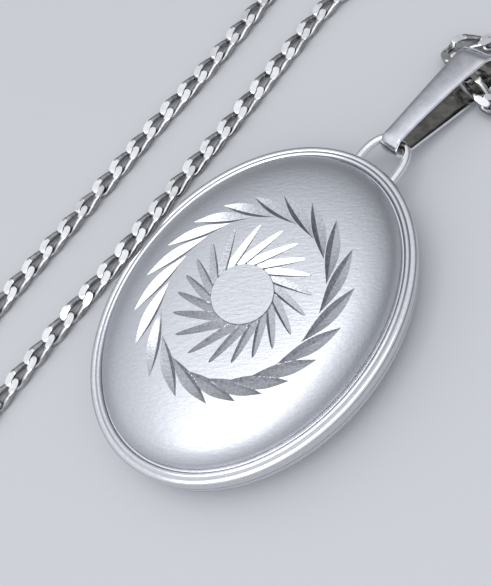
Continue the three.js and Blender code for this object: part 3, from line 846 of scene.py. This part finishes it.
for side, name, body in ((1, "front", "front_cover"), (-1, "back", "back_half")):
    rings = [oval(inset, SEAM_Z + side * h) for inset, h in RIM_SECTION]
    made = piece(f"{name}_rim_band", *solid_of(rings, closed=True), RIM, body, "polished_silver",
                 [f"{name}_rim"], sharp=32)
    cut_out(made, [
        block((-20, -HINGE_REACH, SEAM_Z - 2), (HINGE_X, HINGE_REACH, SEAM_Z + 2)),
        block((-20, -HINGE_REACH, SEAM_Z - SLOT_RADIUS), (HINGE_X + 0.6, HINGE_REACH, SEAM_Z + SLOT_RADIUS)),
        block((8.5, -1.4, SEAM_Z - 0.56), (8.88, 1.4, SEAM_Z + 0.56)),
    ])
    section = [(1.54, 0.05), (1.54, 0.26), (1.58, 0.3), (1.8, 0.3), (2.06, 0.3), (2.14, 0.285), (2.33, 0.21),
               (2.35, 0.19), (2.35, 0.13), (2.33, 0.11), (2.15, 0.05)]
    rings = [oval(inset, SEAM_Z + side * h) for inset, h in section]
    piece(f"{name}_picture_frame", *solid_of(rings, closed=True), FRAME, body, "frame_silver",
          [f"{name}_photo_frame"], sharp=32)

# ---------------------------------------------------------------- hinge


def round_y(radii, x, z, sides=28):
    """Rings round a line along Y, from pairs of y and radius."""
    return [[(x + r * math.cos(TAU * k / sides), y, z + r * math.sin(TAU * k / sides)) for k in range(sides)]
            for y, r in radii]


def knuckle(side, low, high):
    """A bored barrel with softened ends, and the leaf that holds it to its cover."""
    soft = 0.05
    barrel = solid_of(round_y([
        (low, PIN_BORE), (low, BARREL_RADIUS - soft), (low + soft * 0.3, BARREL_RADIUS - soft * 0.3),
        (low + soft, BARREL_RADIUS), (high - soft, BARREL_RADIUS),
        (high - soft * 0.3, BARREL_RADIUS - soft * 0.3),
        (high, BARREL_RADIUS - soft), (high, PIN_BORE)], HINGE_X, SEAM_Z), closed=True)
    near, far = sorted((SEAM_Z + side * 0.06, SEAM_Z + side * (SLOT_RADIUS - 0.02)))
    leaf = block((HINGE_X + PIN_BORE + 0.06, low, near), (HINGE_X + 0.58, high, far))
    return joined(barrel, leaf)


for name, node, side, low, high, body in (
        ("lower_hinge_barrel", "hinge_knuckle_back_lower", -1,
         -HINGE_HALF, -MIDDLE_HALF - 0.04, "back_half"),
        ("upper_hinge_barrel", "hinge_knuckle_back_upper", -1,
         MIDDLE_HALF + 0.04, HINGE_HALF, "back_half"),
        ("middle_hinge_barrel", "hinge_knuckle_front", 1, -MIDDLE_HALF, MIDDLE_HALF, "front_cover")):
    piece(name, *knuckle(side, low, high), POLISHED, body, "polished_silver", [node], sharp=40)
end = HINGE_HALF + 0.05
pin = [(-end, 0.10), (-end + 0.015, 0.17), (-end + 0.05, PIN_RADIUS),
       (end - 0.05, PIN_RADIUS), (end - 0.015, 0.17), (end, 0.10)]
piece("hinge_pin_rod", *solid_of(round_y(pin, HINGE_X, SEAM_Z), caps=True), POLISHED,
      "back_half", "polished_silver", ["hinge_pin"], sharp=40)

# ---------------------------------------------------------------- bail and its loop

half = [(1.54, 12.2), (1.56, 13.4), (1.5, 14.4), (1.24, 15.2), (0.82, 15.66)]
loop = [(LOOP_X - x, y, LOOP_Z) for x, y in half] + [(LOOP_X, LOOP_TOP_Y, LOOP_Z)]
loop += [(LOOP_X + x, y, LOOP_Z) for x, y in reversed(half)]
loop_line, _ = smooth_line(loop, 0.15)
piece("bail_loop_wire", *solid_of(tube(loop_line, LOOP_WIRE, 18), caps=True), POLISHED, "back_half",
      "polished_silver", ["bail_loop"], sharp=50)


def bail_strap():
    """The folded strap: a curl round the loop, two leaves and a round fold, with softened edges."""
    lean = math.asin((BAIL_FOLD - BAIL_CURL) / BAIL_LENGTH)
    path = []
    for i in range(25):
        a = math.pi / 2 + lean + (math.pi - 2 * lean) * i / 24
        path.append((BAIL_CURL * math.cos(a), BAIL_CURL * math.sin(a), a))
    for i in range(1, 16):
        path.append((None, i / 16, -1))
    for i in range(33):
        a = -math.pi / 2 - lean + (math.pi + 2 * lean) * i / 32
        path.append((BAIL_LENGTH + BAIL_FOLD * math.cos(a), BAIL_FOLD * math.sin(a), a))
    for i in range(1, 16):
        path.append((None, i / 16, 1))
    first, last = path[0], path[24]
    fold_first, fold_last = path[40], path[72]
    place = Matrix.Translation((BAIL_X, LOOP_TOP_Y, LOOP_Z)) @ Matrix.Rotation(BAIL_YAW, 4, "Z") \
        @ Matrix.Rotation(-BAIL_DROP, 4, "X") @ Matrix.Rotation(-BAIL_ROLL, 4, "Y")
    rings = []
    for along, rise, angle in path:
        swell = 0.0
        if along is None:
            u, way = rise, angle
            a, b = (last, fold_first) if way < 0 else (fold_last, first)
            along, rise = a[0] + (b[0] - a[0]) * u, a[1] + (b[1] - a[1]) * u
            angle = math.pi / 2 * way + lean * way
            swell = 0.10 * math.sin(math.pi * u)
        taper = max(0, along / (BAIL_LENGTH + BAIL_FOLD)) ** 1.6
        width = BAIL_FOOT_WIDTH + (BAIL_TOP_WIDTH - BAIL_FOOT_WIDTH) * taper
        out = Vector((0, math.cos(angle), math.sin(angle)))
        ring = []
        soft, thick = 0.07, BAIL_STRAP / 2
        across = (-1, -0.6, -0.2, 0.2, 0.6, 1)
        outer = [(s * (width / 2 - soft), thick + 0.05 * (1 - s * s)) for s in across]
        rim_out = [(width / 2 - soft * 0.3, thick * 0.86), (width / 2, thick * 0.35),
                   (width / 2, -thick * 0.35), (width / 2 - soft * 0.3, -thick * 0.86)]
        under = [(-s * (width / 2 - soft), -thick) for s in across]
        rim_in = [(-x, -z) for x, z in rim_out]
        for x, z in outer + rim_out + under + rim_in:
            ring.append(place @ (Vector((x, along, rise)) + out * (z + swell)))
        rings.append(ring)
    points, faces = solid_of(rings, closed=True)
    first_under = len(outer) + len(rim_out)
    hidden = range(first_under, first_under + len(under) - 1)
    # The inner face takes the second material, the painted shade inside the fold.
    return points, faces, {i: 1 for i in range(len(faces)) if i % len(rings[0]) in hidden}


points, faces, kinds = bail_strap()
piece("folded_bail", points, faces, BAIL, "bail", "bail_silver", ["bail"],
      sharp=50, others=(BAIL_INSIDE_SHADE,), kinds=kinds)

# ---------------------------------------------------------------- CAD parts that stay, with their finishes

for node, material in {
    "back_window": SHEET, "front_window": SHEET, "back_photo_card": CARD, "front_photo_card": CARD,
    "catch_tongue": POLISHED, "catch_keeper": POLISHED,
}.items():
    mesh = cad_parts[node].data
    mesh.materials.clear()
    mesh.materials.append(material)

low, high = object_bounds()
